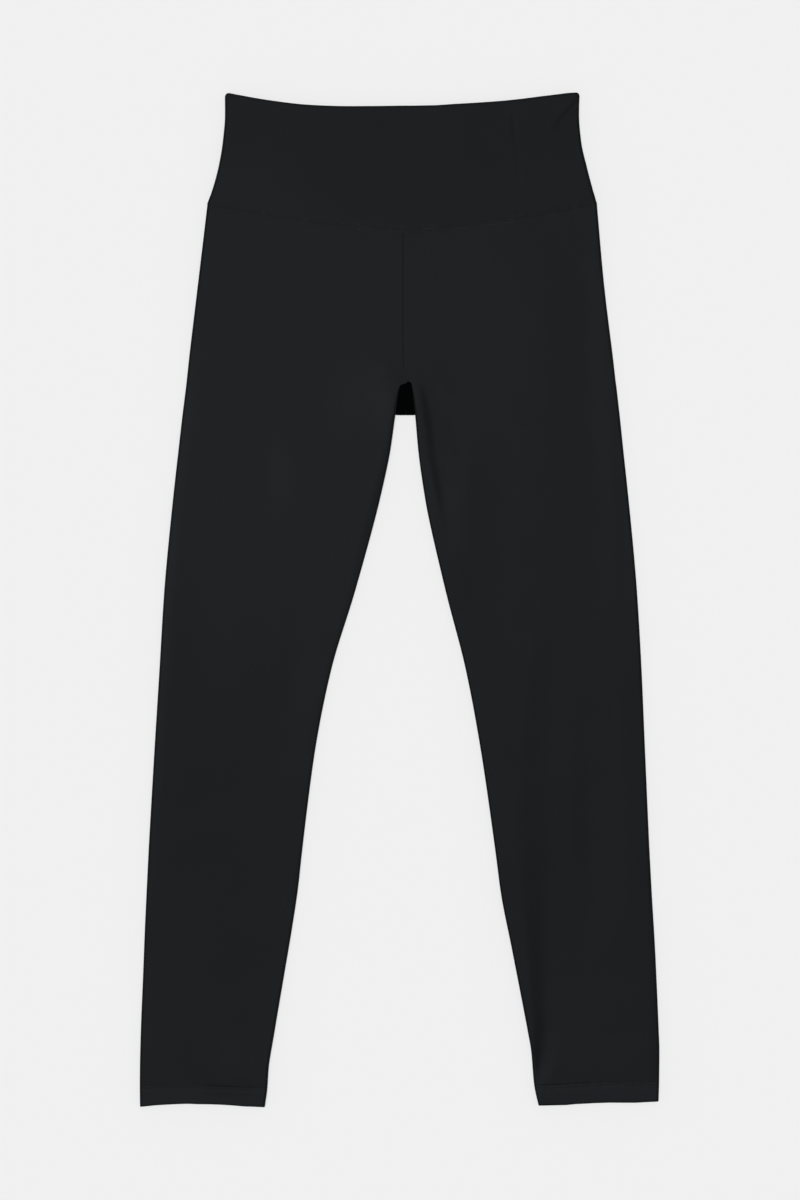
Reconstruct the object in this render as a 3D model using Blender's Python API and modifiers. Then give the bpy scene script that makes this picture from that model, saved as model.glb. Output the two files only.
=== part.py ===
"""High-waisted leggings lying flat with the front up.

+X runs towards the wearer's left, +Y towards the waist and +Z up from the surface that they lie on. The
origin is on that surface, under the middle of the garment. Sizes are in millimetres, and MM makes them
Blender's metres.

Each leg is one piece of knit wrapped round the side, so it closes only at the centre front, the centre back
and the inside leg. The waistband is a front and a back yoke of doubled knit, and a small gusset fills the
crotch.
"""

import math
from collections import namedtuple

import bmesh
import bpy

GARMENT = "leggings"
MM = 0.001

KNIT = 1.0  # one layer of knit
BAND_LAYERS = 2  # the waistband is doubled, folded at its top edge
HEM_LAYERS = 2  # each hem is turned up once
SEAM_GAP = 0.3  # clear space between two pieces at a seam

CENTRE_SEAM_X = 3.2
SEAM_BOW = 1.6  # how the waistband's long edges dip to the centre: 1 is straight, 2 a parabola

FOLD_REACH = 2.5  # how far in from an edge the cloth turns over
ROLL_STEPS = 3  # faces round a quarter turn of a fold
UPRIGHT_SHARE = 0.15  # the share of a turned edge's drop that stands upright at its tip
FLAT_TIP = 0.05  # width of that same strip where the edge is still flat

BAND_HEIGHT = 4.5  # from the surface to the front waistband's face
BAND_COLUMNS = 16
LEG_FRONT_COLUMNS = 13
LEG_BACK_COLUMNS = 9

GUSSET_TOP_LINE = 4  # the legs' line at the gusset's top corners
GUSSET_LOW_LINE = 5  # and at its lower corners, where it folds under
GUSSET_HEIGHT = 2.5
GUSSET_STRIPS = 3
GUSSET_BEND_STEPS = 6

# A line across a leg. "outer" is its end at the side fold and "inner" its end at the centre or inside-leg
# seam. "bow" is 1 for a straight line, and "lift" raises its middle towards the waist. "rolled" is how far
# the inner edge has turned under: 0 is a flat edge, and 1 meets the back at half height. "height" is from the
# surface to the front's face, "layers" the cloth's count, and "strips" the rows of faces to the next line.
LegLine = namedtuple("LegLine", "outer_x outer_y inner_x inner_y bow lift rolled height layers strips")

RIGHT_LEG = (
    LegLine(-172.7, 355.3, 3.0, 332.4, SEAM_BOW, 0.0, 0.0, 4.3, 1, 2),  # waistband seam
    LegLine(-181.1, 285.0, 3.0, 270.0, 1.4, 0.0, 0.0, 3.4, 1, 2),  # hip
    LegLine(-189.0, 219.0, 3.1, 217.0, 1.0, 0.0, 0.0, 3.0, 1, 1),
    LegLine(-191.3, 197.4, 7.4, 198.0, 1.0, 0.0, 0.0, 3.0, 1, 1),  # end of the centre seam
    LegLine(-191.7, 193.8, -0.1, 195.3, 1.0, 0.0, 0.0, 3.0, 1, 2),  # gusset's top corner
    LegLine(-195.3, 165.0, -4.1, 165.9, 1.0, 0.0, 1.0, 3.0, 1, 1),  # gusset's lower corner
    LegLine(-198.8, 134.4, -8.3, 134.4, 1.0, 0.0, 1.0, 3.1, 1, 2),
    LegLine(-203.8, 89.4, -17.9, 89.4, 1.0, 0.0, 1.0, 3.2, 1, 2),
    LegLine(-211.2, 8.4, -40.0, 8.4, 1.0, 0.0, 1.0, 3.2, 1, 2),
    LegLine(-215.8, -63.6, -61.6, -63.6, 1.0, 0.0, 1.0, 3.2, 1, 2),  # knee
    LegLine(-220.2, -135.6, -76.0, -135.6, 1.0, 0.0, 1.0, 3.2, 1, 3),
    LegLine(-225.3, -225.6, -87.7, -225.6, 1.0, 0.0, 1.0, 3.3, 1, 3),  # calf
    LegLine(-229.6, -315.6, -99.6, -315.6, 1.0, 0.0, 1.0, 3.4, 1, 2),
    LegLine(-232.6, -387.6, -112.3, -387.6, 1.0, 0.3, 1.0, 3.8, 1, 1),  # ankle
    LegLine(-233.4, -421.0, -117.8, -422.0, 1.0, 0.8, 1.0, 4.1, 1, 1),
    LegLine(-233.5, -438.0, -118.9, -439.2, 1.0, 1.4, 1.0, 4.3, 1, 1),  # top of the hem
    LegLine(-233.5, -439.4, -119.1, -440.6, 1.0, 1.6, 1.0, 4.6, HEM_LAYERS, 1),
    LegLine(-233.3, -456.8, -121.2, -456.8, 1.0, 3.0, 1.0, 4.6, HEM_LAYERS, 0),  # hem's edge
)

LEFT_LEG = (
    LegLine(177.6, 355.3, 3.4, 332.4, SEAM_BOW, 0.0, 0.0, 4.3, 1, 2),  # waistband seam
    LegLine(183.9, 285.0, 3.4, 270.0, 1.4, 0.0, 0.0, 3.4, 1, 2),  # hip
    LegLine(191.9, 219.0, 3.5, 217.0, 1.0, 0.0, 0.0, 3.0, 1, 1),
    LegLine(194.4, 197.4, 7.8, 198.1, 1.0, 0.0, 0.0, 3.0, 1, 1),  # end of the centre seam
    LegLine(194.9, 193.8, 9.9, 197.5, 1.0, 0.0, 0.0, 3.0, 1, 2),  # gusset's top corner
    LegLine(198.2, 165.0, 14.2, 165.9, 1.0, 0.0, 1.0, 3.0, 1, 1),  # gusset's lower corner
    LegLine(201.4, 134.4, 17.0, 134.4, 1.0, 0.0, 1.0, 3.1, 1, 2),
    LegLine(206.2, 89.4, 23.4, 89.4, 1.0, 0.0, 1.0, 3.2, 1, 2),
    LegLine(213.6, 8.4, 41.5, 8.4, 1.0, 0.0, 1.0, 3.2, 1, 2),
    LegLine(217.8, -63.6, 59.9, -63.6, 1.0, 0.0, 1.0, 3.4, 1, 2),  # knee
    LegLine(220.9, -135.6, 73.3, -135.6, 1.0, 0.0, 1.0, 3.6, 1, 3),
    LegLine(224.9, -225.6, 86.4, -225.6, 1.0, 0.0, 1.0, 3.8, 1, 3),  # calf
    LegLine(230.0, -315.6, 101.5, -315.6, 1.0, 0.0, 1.0, 4.0, 1, 2),
    LegLine(233.0, -387.6, 115.2, -387.6, 1.0, 0.0, 1.0, 4.2, 1, 2),  # ankle
    LegLine(233.5, -433.3, 121.3, -437.1, 1.0, 0.4, 1.0, 4.4, 1, 1),  # top of the hem
    LegLine(233.5, -434.7, 121.6, -438.5, 1.0, 0.3, 1.0, 4.6, HEM_LAYERS, 1),
    LegLine(233.0, -451.4, 125.2, -455.6, 1.0, -0.2, 1.0, 4.6, HEM_LAYERS, 0),  # hem's edge
)

# A line across the waistband, from its lower edge to its top. It dips from "side_y" to "dip_y" at "dip_x".
BandLine = namedtuple("BandLine", "left_x right_x side_y dip_x dip_y bow strips")

WAISTBAND = (
    BandLine(-173.0, 177.8, 355.6, CENTRE_SEAM_X, 332.7, SEAM_BOW, 2),  # leg seam
    BandLine(-168.3, 174.0, 368.4, -2.0, 347.0, 1.6, 2),
    BandLine(-162.5, 168.3, 390.0, -10.0, 371.0, 1.5, 2),
    BandLine(-158.9, 163.5, 411.6, -18.0, 395.0, 1.5, 2),
    BandLine(-156.9, 161.5, 436.0, -26.0, 422.8, 1.9, 2),
    BandLine(-157.0, 162.0, 456.4, -30.0, 444.0, 2.2, 0),  # top edge
)

# The largest folds of each front, as points down each fold. "rise" is below 0 in a trough and above 0 on a
# ridge.
FoldPoint = namedtuple("FoldPoint", "x y half_width rise")

CROTCH_MOUND = (  # the front stands higher where four seams meet
    FoldPoint(4, 182, 54, 1.0),
    FoldPoint(4, 178, 54, 1.0),
)

LEFT_FOLDS = (
    CROTCH_MOUND,
    (  # trough from the knee to the ankle
        FoldPoint(146, 10, 28, 0.0),
        FoldPoint(142, -144, 34, -0.9),
        FoldPoint(136, -288, 28, -1.3),
        FoldPoint(133, -387, 18, -1.3),
        FoldPoint(125, -432, 8, -0.6),
    ),
    (  # fainter trough on the shin
        FoldPoint(174, -50, 22, 0.0),
        FoldPoint(175, -199, 23, -0.6),
        FoldPoint(178, -345, 20, 0.0),
    ),
    (  # crease on the inside of the thigh
        FoldPoint(26, 184, 9, -0.4),
        FoldPoint(36, 150, 15, -0.8),
        FoldPoint(45, 60, 10, 0.0),
    ),
)

RIGHT_FOLDS = (
    CROTCH_MOUND,
    (  # ridge down the shin
        FoldPoint(-156, 40, 28, 0.0),
        FoldPoint(-148, -80, 32, 0.5),
        FoldPoint(-138, -190, 26, 0.0),
    ),
    (  # ridge across the ankle
        FoldPoint(-200, -338, 22, 0.0),
        FoldPoint(-172, -401, 26, 0.8),
        FoldPoint(-134, -443, 16, 0.0),
    ),
)

# "colour" is sRGB, 0 to 1.
Finish = namedtuple("Finish", "colour roughness")

LEG_FINISH = Finish((0.125, 0.132, 0.140), 0.75)
BAND_FINISH = Finish((0.120, 0.128, 0.136), 0.70)
GUSSET_FINISH = Finish((0.030, 0.032, 0.035), 0.85)


def steady_curve(places, values):
    """A smooth function through the values that never overshoots them (monotone cubic)."""
    spans = [b - a for a, b in zip(places, places[1:])]
    slopes = [(b - a) / span for a, b, span in zip(values, values[1:], spans)]
    tangents = [slopes[0]]
    for before, after in zip(slopes, slopes[1:]):
        same_way = before * after > 0
        tangents.append(2 * before * after / (before + after) if same_way else 0.0)
    tangents.append(slopes[-1])

    def value_at(place):
        k = max(0, min(len(spans) - 1, sum(place >= p for p in places) - 1))
        t = (place - places[k]) / spans[k]
        start = (1 + 2 * t) * (1 - t) ** 2 * values[k] + t * t * (3 - 2 * t) * values[k + 1]
        lean = t * (1 - t) ** 2 * tangents[k] - t * t * (1 - t) * tangents[k + 1]
        return start + lean * spans[k]

    return value_at


def finer_lines(lines):
    """The table's lines with the strips between them added, each value smooth down the garment."""
    places = list(range(len(lines)))
    curves = [steady_curve(places, values) for values in zip(*lines)]
    finer = []
    for k, line in enumerate(lines[:-1]):
        for step in range(line.strips):
            finer.append(type(line)(*(curve(k + step / line.strips) for curve in curves)))
    return finer + [lines[-1]]


def rolled_edge(drop, rolled=1.0):
    """(inset, fall) from the tip of a turned edge to just before the flat cloth."""
    turn = [math.pi / 2 * k / ROLL_STEPS for k in range(ROLL_STEPS)]
    rounded = drop * (1 - UPRIGHT_SHARE)
    roll = [(FOLD_REACH * (1 - math.cos(a)), rounded * (1 - math.sin(a))) for a in turn]
    roll[0] = (FLAT_TIP * (1 - rolled), rounded)
    return [(0.0, drop)] + roll


def across(width, columns):
    """Distances from one edge to the other over the flat cloth, closer together near the edges."""
    flat = width - 2 * FOLD_REACH
    return [FOLD_REACH + flat * (1 - math.cos(math.pi * k / columns)) / 2 for k in range(columns + 1)]


def fold_rise(folds, x, y):
    """How far the folds lift or sink the front's face at a point."""
    total = 0.0
    for fold in folds:
        nearest = None
        for a, b in zip(fold, fold[1:]):
            run_x, run_y = b.x - a.x, b.y - a.y
            t = ((x - a.x) * run_x + (y - a.y) * run_y) / (run_x**2 + run_y**2)
            t = max(0.0, min(1.0, t))
            away = math.hypot(x - a.x - t * run_x, y - a.y - t * run_y)
            if nearest is None or away < nearest[0]:
                half_width = a.half_width + t * (b.half_width - a.half_width)
                nearest = (away, half_width, a.rise + t * (b.rise - a.rise))
        away, half_width, rise = nearest
        total += rise * max(0.0, 1 - (away / half_width) ** 2) ** 2
    return total


def leg_section(line, folds):
    """Points of a leg's face along one line: the back from the inside leg to the side, then the front."""
    width = abs(line.inner_x - line.outer_x)
    way = 1 if line.inner_x > line.outer_x else -1

    def point(inset, z):
        share = 1 - (1 - inset / width) ** line.bow
        lift = line.lift * math.sin(math.pi * inset / width)
        return (line.outer_x + way * inset, line.outer_y + (line.inner_y - line.outer_y) * share + lift, z)

    def face_height(inset):
        x, y, _ = point(inset, 0)
        return max(2 * KNIT * line.layers + SEAM_GAP, line.height + fold_rise(folds, x, y))

    side_top = face_height(FOLD_REACH)
    inner_top = face_height(width - FOLD_REACH)
    inner_drop = line.rolled * (inner_top - SEAM_GAP) / 2
    inner_roll = rolled_edge(inner_drop, line.rolled)
    side_roll = rolled_edge(side_top / 2)

    back = [point(width - inset, fall) for inset, fall in inner_roll]
    back += [point(inset, 0) for inset in reversed(across(width, LEG_BACK_COLUMNS))]
    back += [point(inset, fall) for inset, fall in reversed(side_roll)]
    front = [point(inset, side_top - fall) for inset, fall in side_roll[1:]]
    front += [point(inset, face_height(inset)) for inset in across(width, LEG_FRONT_COLUMNS)]
    front += [point(width - inset, inner_top - fall) for inset, fall in reversed(inner_roll)]
    return back + front


def band_section(line, front):
    """Points of a waistband panel's face along one line, from the wearer's right to their left."""
    width = line.right_x - line.left_x
    roll = rolled_edge((BAND_HEIGHT - SEAM_GAP) / 2)
    insets = [inset for inset, _ in roll] + across(width, BAND_COLUMNS)
    insets += [width - inset for inset, _ in reversed(roll)]
    falls = [fall for _, fall in roll] + [0.0] * (BAND_COLUMNS + 1) + [fall for _, fall in reversed(roll)]
    points = []
    for inset, fall in zip(insets, falls):
        x = line.left_x + inset
        half = line.dip_x - line.left_x if x < line.dip_x else line.right_x - line.dip_x
        out = min(1.0, abs(x - line.dip_x) / half) ** line.bow
        y = line.dip_y + (line.side_y - line.dip_y) * out
        points.append((x, y, BAND_HEIGHT - fall if front else fall))
    return points


def inner_edge(lines, y):
    """A leg's inner x at a height y, between its lines."""
    for above, below in zip(lines, lines[1:]):
        if above.inner_y >= y >= below.inner_y:
            t = (above.inner_y - y) / (above.inner_y - below.inner_y)
            return above.inner_x + t * (below.inner_x - above.inner_x)
    raise ValueError(f"no line reaches y = {y}")


def gusset_sections(right_lines, left_lines):
    """Rows of the gusset's face, down the front, round the crotch and up the back."""
    right_top = RIGHT_LEG[GUSSET_TOP_LINE].inner_y - SEAM_GAP
    left_top = LEFT_LEG[GUSSET_TOP_LINE].inner_y - SEAM_GAP
    bottom = RIGHT_LEG[GUSSET_LOW_LINE].inner_y
    radius = GUSSET_HEIGHT / 2
    bend_top = bottom + radius
    shares = [k / GUSSET_STRIPS for k in range(GUSSET_STRIPS)]
    straight = [
        (right_top + t * (bend_top - right_top), left_top + t * (bend_top - left_top)) for t in shares
    ]
    rows = [(right_y, left_y, GUSSET_HEIGHT) for right_y, left_y in straight]
    for step in range(GUSSET_BEND_STEPS + 1):
        angle = math.pi * step / GUSSET_BEND_STEPS
        y = bend_top - radius * math.sin(angle)
        rows.append((y, y, radius * (1 + math.cos(angle))))
    rows += [(right_y, left_y, 0.0) for right_y, left_y in reversed(straight)]
    sections = []
    for right_y, left_y, z in rows:
        right_x = inner_edge(right_lines, right_y) + SEAM_GAP
        left_x = inner_edge(left_lines, left_y) - SEAM_GAP
        sections.append([(right_x, right_y, z), (left_x, left_y, z)])
    return sections


def knit_material(name, finish):
    """A plain cloth finish from an sRGB colour and a roughness."""
    material = bpy.data.materials.new(name)
    material.use_nodes = True
    shader = material.node_tree.nodes["Principled BSDF"]
    linear = [((c + 0.055) / 1.055) ** 2.4 if c > 0.04045 else c / 12.92 for c in finish.colour]
    shader.inputs["Base Color"].default_value = (*linear, 1)
    shader.inputs["Roughness"].default_value = finish.roughness
    shader.inputs["Metallic"].default_value = 0.0
    return material


def face_mesh(name, sections, first_face_up):
    """The open face of a piece through its sections, its first face looking up or down as asked."""
    shell = bmesh.new()
    rows = [[shell.verts.new([c * MM for c in point]) for point in section] for section in sections]
    for above, below in zip(rows, rows[1:]):
        for k in range(len(above) - 1):
            shell.faces.new((above[k], below[k], below[k + 1], above[k + 1]))
    shell.normal_update()
    shell.faces.ensure_lookup_table()
    if (shell.faces[0].normal.z > 0) != first_face_up:
        bmesh.ops.reverse_faces(shell, faces=shell.faces)
    mesh = bpy.data.meshes.new(name)
    shell.to_mesh(mesh)
    shell.free()
    mesh.shade_smooth()
    return mesh


def sewn_piece(collection, name, sections, layers, finish, first_face_up):
    """One piece of cloth: its face, with a wall inwards. layers is the cloth's count at each section."""
    piece = bpy.data.objects.new(name, face_mesh(name, sections, first_face_up))
    piece.data.materials.append(knit_material(name + "_knit", finish))
    collection.objects.link(piece)
    most = max(layers)
    doubled = piece.vertex_groups.new(name="layers")
    columns = len(sections[0])
    for row, count in enumerate(layers):
        doubled.add(list(range(row * columns, (row + 1) * columns)), count / most, "REPLACE")
    wall = piece.modifiers.new("wall", "SOLIDIFY")
    wall.thickness = most * KNIT * MM
    wall.offset = -1
    wall.use_even_offset = True
    wall.vertex_group = doubled.name
    return piece


def make_legs(collection):
    """Both legs, and the lines they were made from, the wearer's right first."""
    made = []
    for name, lines, folds in (("leg_right", RIGHT_LEG, RIGHT_FOLDS), ("leg_left", LEFT_LEG, LEFT_FOLDS)):
        finer = finer_lines(lines)
        sections = [leg_section(line, folds) for line in finer]
        layers = [line.layers for line in finer]
        sewn_piece(collection, name, sections, layers, LEG_FINISH, first_face_up=False)
        made.append(finer)
    return made


def make_waistband(collection):
    finer = finer_lines(WAISTBAND)
    layers = [BAND_LAYERS] * len(finer)
    for name, front in (("waistband_front", True), ("waistband_back", False)):
        sections = [band_section(line, front) for line in finer]
        sewn_piece(collection, name, sections, layers, BAND_FINISH, first_face_up=front)


def make_gusset(collection, right_lines, left_lines):
    sections = gusset_sections(right_lines, left_lines)
    sewn_piece(collection, "gusset", sections, [1] * len(sections), GUSSET_FINISH, first_face_up=True)


def main():
    for obj in list(bpy.data.objects):
        bpy.data.objects.remove(obj)
    collection = bpy.data.collections.new(GARMENT)
    bpy.context.scene.collection.children.link(collection)
    make_waistband(collection)
    right_lines, left_lines = make_legs(collection)
    make_gusset(collection, right_lines, left_lines)


main()
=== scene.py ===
"""The looks of the leggings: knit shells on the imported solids' forms, their seams, stitches and creases.

The garment lies on its back, front up. +X runs towards the wearer's left, +Y towards the waist and +Z up. The
tables are in millimetres, as a maker measures cloth, and MM makes them Blender's metres.
"""

import math
from collections import namedtuple

import bpy
import numpy as np
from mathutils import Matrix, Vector


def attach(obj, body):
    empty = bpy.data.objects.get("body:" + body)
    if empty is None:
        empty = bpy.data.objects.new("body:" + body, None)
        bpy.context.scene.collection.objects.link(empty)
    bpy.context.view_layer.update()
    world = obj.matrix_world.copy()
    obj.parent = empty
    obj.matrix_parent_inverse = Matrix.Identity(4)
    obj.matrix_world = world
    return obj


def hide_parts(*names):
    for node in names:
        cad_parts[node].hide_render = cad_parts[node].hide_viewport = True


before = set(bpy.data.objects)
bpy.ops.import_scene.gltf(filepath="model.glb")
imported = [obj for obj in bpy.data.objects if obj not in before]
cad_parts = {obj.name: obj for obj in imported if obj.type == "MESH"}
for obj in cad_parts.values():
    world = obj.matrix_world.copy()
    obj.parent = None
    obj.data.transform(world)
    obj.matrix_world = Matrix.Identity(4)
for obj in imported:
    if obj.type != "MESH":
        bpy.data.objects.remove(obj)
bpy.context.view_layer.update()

MM = 0.001

# Cloth
KNIT = 0.9  # one layer
BAND_WALL = 2 * KNIT  # the waistband is doubled, folded at its top edge
HEM_WALL = 2 * KNIT  # each hem is turned up once
HEM_WALL_EASE = 1.5  # over how much below its stitches it thickens
HEM_DEPTH = 18.0
HEM_SWELL = 0.18
HEM_SWELL_PACE = 3  # it is all there a third of the way down the hem
HEM_ROLL = 0.35  # how far its folded edge turns down
HEM_ROLL_REACH = 1.7
SEAM_GAP = 0.3  # what the solids leave clear at a seam
SEAM_CLOSE = 0.145  # how far sewing draws each edge into that
CENTRE_CLOSE = 0.205  # and at the centre seams
CLOSE_REACH = 20.0  # how far from the waistband seam the cloth gives way
LAYER_GAP = 0.25  # least space between the front's inside and the back's
LAYER_HARDNESS = 6  # how sharply a trough stops there
BACK_EASE = 14.0  # how far in from its folds the back lifts off the floor
BACK_HEM_EASE = 40.0
BAND_EASE = 20.0  # how far in from its sides the waistband's front starts to wave

# Folded edges
FOLD_REACH = 2.5  # how far in from an edge the cloth turns over
ROLL_STEPS = 6
EDGE_ROUND = 0.28  # radius of a sewn edge
FLUSH_ROUND = 0.07  # and where it is sewn flat, edge to edge
FOLDED_ROUND = 1.0  # and of the waistband's folded top edge
EDGE_STEPS = 3  # faces round a quarter of an edge
GUARD_ROW = 0.08  # a row of points this close beside an edge's rounding keeps its shading there
FOLD_SHARE = 0.8  # of a tight fold's radius that its wall may fill
FOLD_EASING = 6  # times that the thinner wall is spread to its sides

# Fineness of the shells
ROW_SPACING = 3.0
FINE_SPACING = 0.55  # beside a stitched seam
FINE_REACH = 6.0
FINE_EASE = 24.0  # over how much more the rows grow apart
LEAST_ROW = 0.2
LEAST_COLUMN = 0.1
LEG_FRONT_COLUMNS = 84
LEG_BACK_COLUMNS = 34
BAND_COLUMNS = 190
EDGE_CROWDING = 0.3  # how much closer they stand near an edge
BAND_ROW_SPACING = 2.0

# Stitching
STITCH_PITCH = 2.6
STITCH_LENGTH = 2.1
THREAD_RADIUS = 0.2
THREAD_LIFT = 0.02  # of its middle above the cloth
JOIN_DEPTH = 0.08  # how far down its middle lies between two pieces
LEAST_THREAD_HEIGHT = 0.15  # of its middle, where the cloth lies on the floor
ROW_PITCH = 2.4  # between neighbouring rows of one seam
ROW_DIP = 0.30  # how far a row of stitches pulls into the cloth at most
ROW_DIP_WIDTH = 0.9
BAND_ROW_ENDS = 6  # columns at a waistband row's ends with no stitches


def table(kind, *rows):
    """Each row's values under the kind's column names."""
    return tuple(kind(*row) for row in rows)


# How hard a row of stitches pulls, as a share of the most, at places along it.
PullPoint = namedtuple("PullPoint", "x pull")
FLAT_ROW = table(PullPoint, (0, 0.12))
RIGHT_HEM_ROW = table(
    PullPoint,
    (-232, 0.1), (-226, 0.35), (-214, 0.2), (-176, 0.15), (-170, 0.8), (-152, 0.9), (-147, 0.5),
    (-126, 0.4), (-120, 0.1),
)
LEFT_HEM_ROW = table(
    PullPoint,
    (122, 0.1), (127, 0.9), (136, 0.7), (139, 1), (151, 0.9), (156, 0.1), (160, 0.9),
    (171, 0.9), (175, 0.35), (200, 0.25), (206, 0.05), (221, 0.1), (225, 0.5), (230, 0.1),
)

# A line across a leg. "outer" is its end at the side fold and "inner" its end at the centre or inside-leg
# seam. "height" is from the floor to the front's face, and "rolled" is how far the inner edge has turned
# under. "lift" raises its middle towards the waist, and "bow" is 1 for a straight line.
LEG_COLUMNS = "outer_x outer_y inner_x inner_y height rolled lift bow"
LegLine = namedtuple("LegLine", LEG_COLUMNS, defaults=(1, 0, 1))

RIGHT_LEG = table(
    LegLine,
    (-172.7, 355.3, 3, 332.4, 4.3, 0, 0, 1.6),  # waistband seam
    (-181.1, 285, 3, 270, 3.4, 0, 0, 1.4),  # hip
    (-189, 219, 3.1, 217, 3, 0),
    (-191.5, 195.6, 7.4, 195.8, 3, 0),  # end of the centre seam
    (-191.9, 192, 0.9, 192.9, 3, 0),  # gusset's top corner
    (-195.3, 165, -3.8, 165.9, 3),  # gusset's lower corner
    (-198.8, 134.4, -8.3, 134.4, 3.1),
    (-203.8, 89.4, -17.9, 89.4, 3.2),
    (-211.5, 8.4, -39.8, 8.4, 3.2),
    (-215.9, -63.6, -61.6, -63.6, 3.2),  # knee
    (-220.4, -135.6, -76, -135.6, 3.2),
    (-225.6, -225.6, -87.6, -225.6, 3.3),  # calf
    (-227.3, -260, -91.4, -260, 3.3),
    (-229.1, -299, -97.3, -299, 3.4),  # a slight catch in the inside-leg seam
    (-230.6, -338, -103.9, -338, 3.5),
    (-232.6, -387.6, -112.3, -387.6, 3.8, 1, 0.3),  # ankle
    (-233.4, -421, -117.8, -422, 4.1, 1, 0.8),
    (-233.5, -438, -118.9, -439.2, 4.3, 1, 1.4),  # top of the hem
    (-233.3, -456.8, -121.2, -456.8, 4.6, 1, 3),  # hem's edge
)

LEFT_LEG = table(
    LegLine,
    (177.6, 355.3, 3.4, 332.4, 4.3, 0, 0, 1.6),  # waistband seam
    (183.9, 285, 3.4, 270, 3.4, 0, 0, 1.4),  # hip
    (191.9, 219, 3.5, 217, 3, 0),
    (194.6, 195.6, 8.1, 195.9, 3, 0),  # end of the centre seam
    (195.1, 192, 10.4, 195.2, 3, 0),  # gusset's top corner
    (198.2, 165, 14.2, 165.9, 3),  # gusset's lower corner
    (201.4, 134.4, 17, 134.4, 3.1),
    (206.2, 89.4, 23.4, 89.4, 3.2),
    (213.6, 8.4, 41.5, 8.4, 3.2),
    (217.8, -63.6, 59.9, -63.6, 3.4),  # knee
    (220.9, -135.6, 73.3, -135.6, 3.6),
    (224.9, -225.6, 86.3, -225.6, 3.8),  # calf
    (227, -265, 91.5, -265, 3.9),
    (230, -315.6, 101.5, -315.6, 4),
    (233.2, -387.6, 115.4, -387.6, 4.2),  # ankle
    (233.8, -406, 118.6, -406, 4.3),
    (233.5, -433.3, 121.3, -437.1, 4.4, 1, 0.4),  # top of the hem
    (233, -451.4, 125.2, -455.6, 4.6, 1, -0.2),  # hem's edge
)

# A line across the waistband, from its lower edge to its top. It dips from "side_y" to "dip_y" at "dip_x".
BandLine = namedtuple("BandLine", "left_x right_x side_y dip_x dip_y bow")

WAISTBAND = table(
    BandLine,
    (-173, 177.8, 355.7, 3.2, 332.7, 1.6),  # leg seam
    (-168.3, 174, 368.4, -2, 347, 1.6),
    (-162.5, 168.3, 390, -10, 371, 1.5),
    (-158.9, 163.5, 411.6, -18, 395, 1.5),
    (-156.9, 161.5, 436, -26, 422.8, 1.9),
    (-157, 162, 456.4, -30, 444, 2.2),  # top edge
)

# How far an edge runs above its even line, at places along it.
EdgePoint = namedtuple("EdgePoint", "x rise")
TOP_EDGE = table(
    EdgePoint,
    (-140, 0), (-110, -0.35), (-88, -0.75), (-58, -0.5), (-30, -0.15), (0, 0), (33, -0.45),
    (50, 0), (95, -0.05), (112, 0.25), (126, 0.65), (151, 0.7), (160, 0),
)
RIGHT_HEM_EDGE = table(
    EdgePoint,
    (-231, 0.8), (-220, 1.05), (-190, 0.8), (-181, 0.25), (-160, 0.1), (-140, -0.25), (-131, 0.1),
    (-124, 0.4),
)
LEFT_HEM_EDGE = table(
    EdgePoint,
    (127, 0.7), (150, 0.4), (158, 0.95), (175, 1.2), (188, 1.15), (200, 0.6), (212, 0.05),
    (225, 0.2),
)
HEM_EDGE_REACH = 32.0  # how far up the leg its unevenness carries
HEM_EDGE_EASE = 12.0  # and over how much of that it grows
TOP_EDGE_REACH = 12.0
BAND_HEIGHT = 4.5
TOP_ROLL = 0.5  # how far the folded top edge turns down
TOP_ROLL_REACH = 2.2
LEFT_CORNER = 4.6  # radii of the top corners
RIGHT_CORNER = 3.6

GUSSET_TOP_LINE = 4  # the legs' line at the gusset's top corners
GUSSET_LOW_LINE = 5  # and at its lower corners, where it folds under
GUSSET_HEIGHT = 2.0
GUSSET_TUCK = 2.0  # how far its seam allowance reaches under the legs
GUSSET_LAP = 0.2  # and how far its sides do, below that
GUSSET_CROWN = 0.3
GUSSET_CROWN_REACH = 8.0  # how far above its lower fold that crown has died out
GUSSET_ROWS = 26
GUSSET_COLUMNS = 16

# Creases, as points down each one. "left" and "right" are how far its sides reach, as seen from the front.
# "rise" is above 0 on a ridge and below 0 in a trough, and is left out where the crease has died out.
CreasePoint = namedtuple("CreasePoint", "x y left right rise", defaults=(0,))


def creases(*folds):
    """A table for each crease, with a row for each point down it."""
    return tuple(table(CreasePoint, *points) for points in folds)


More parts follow.
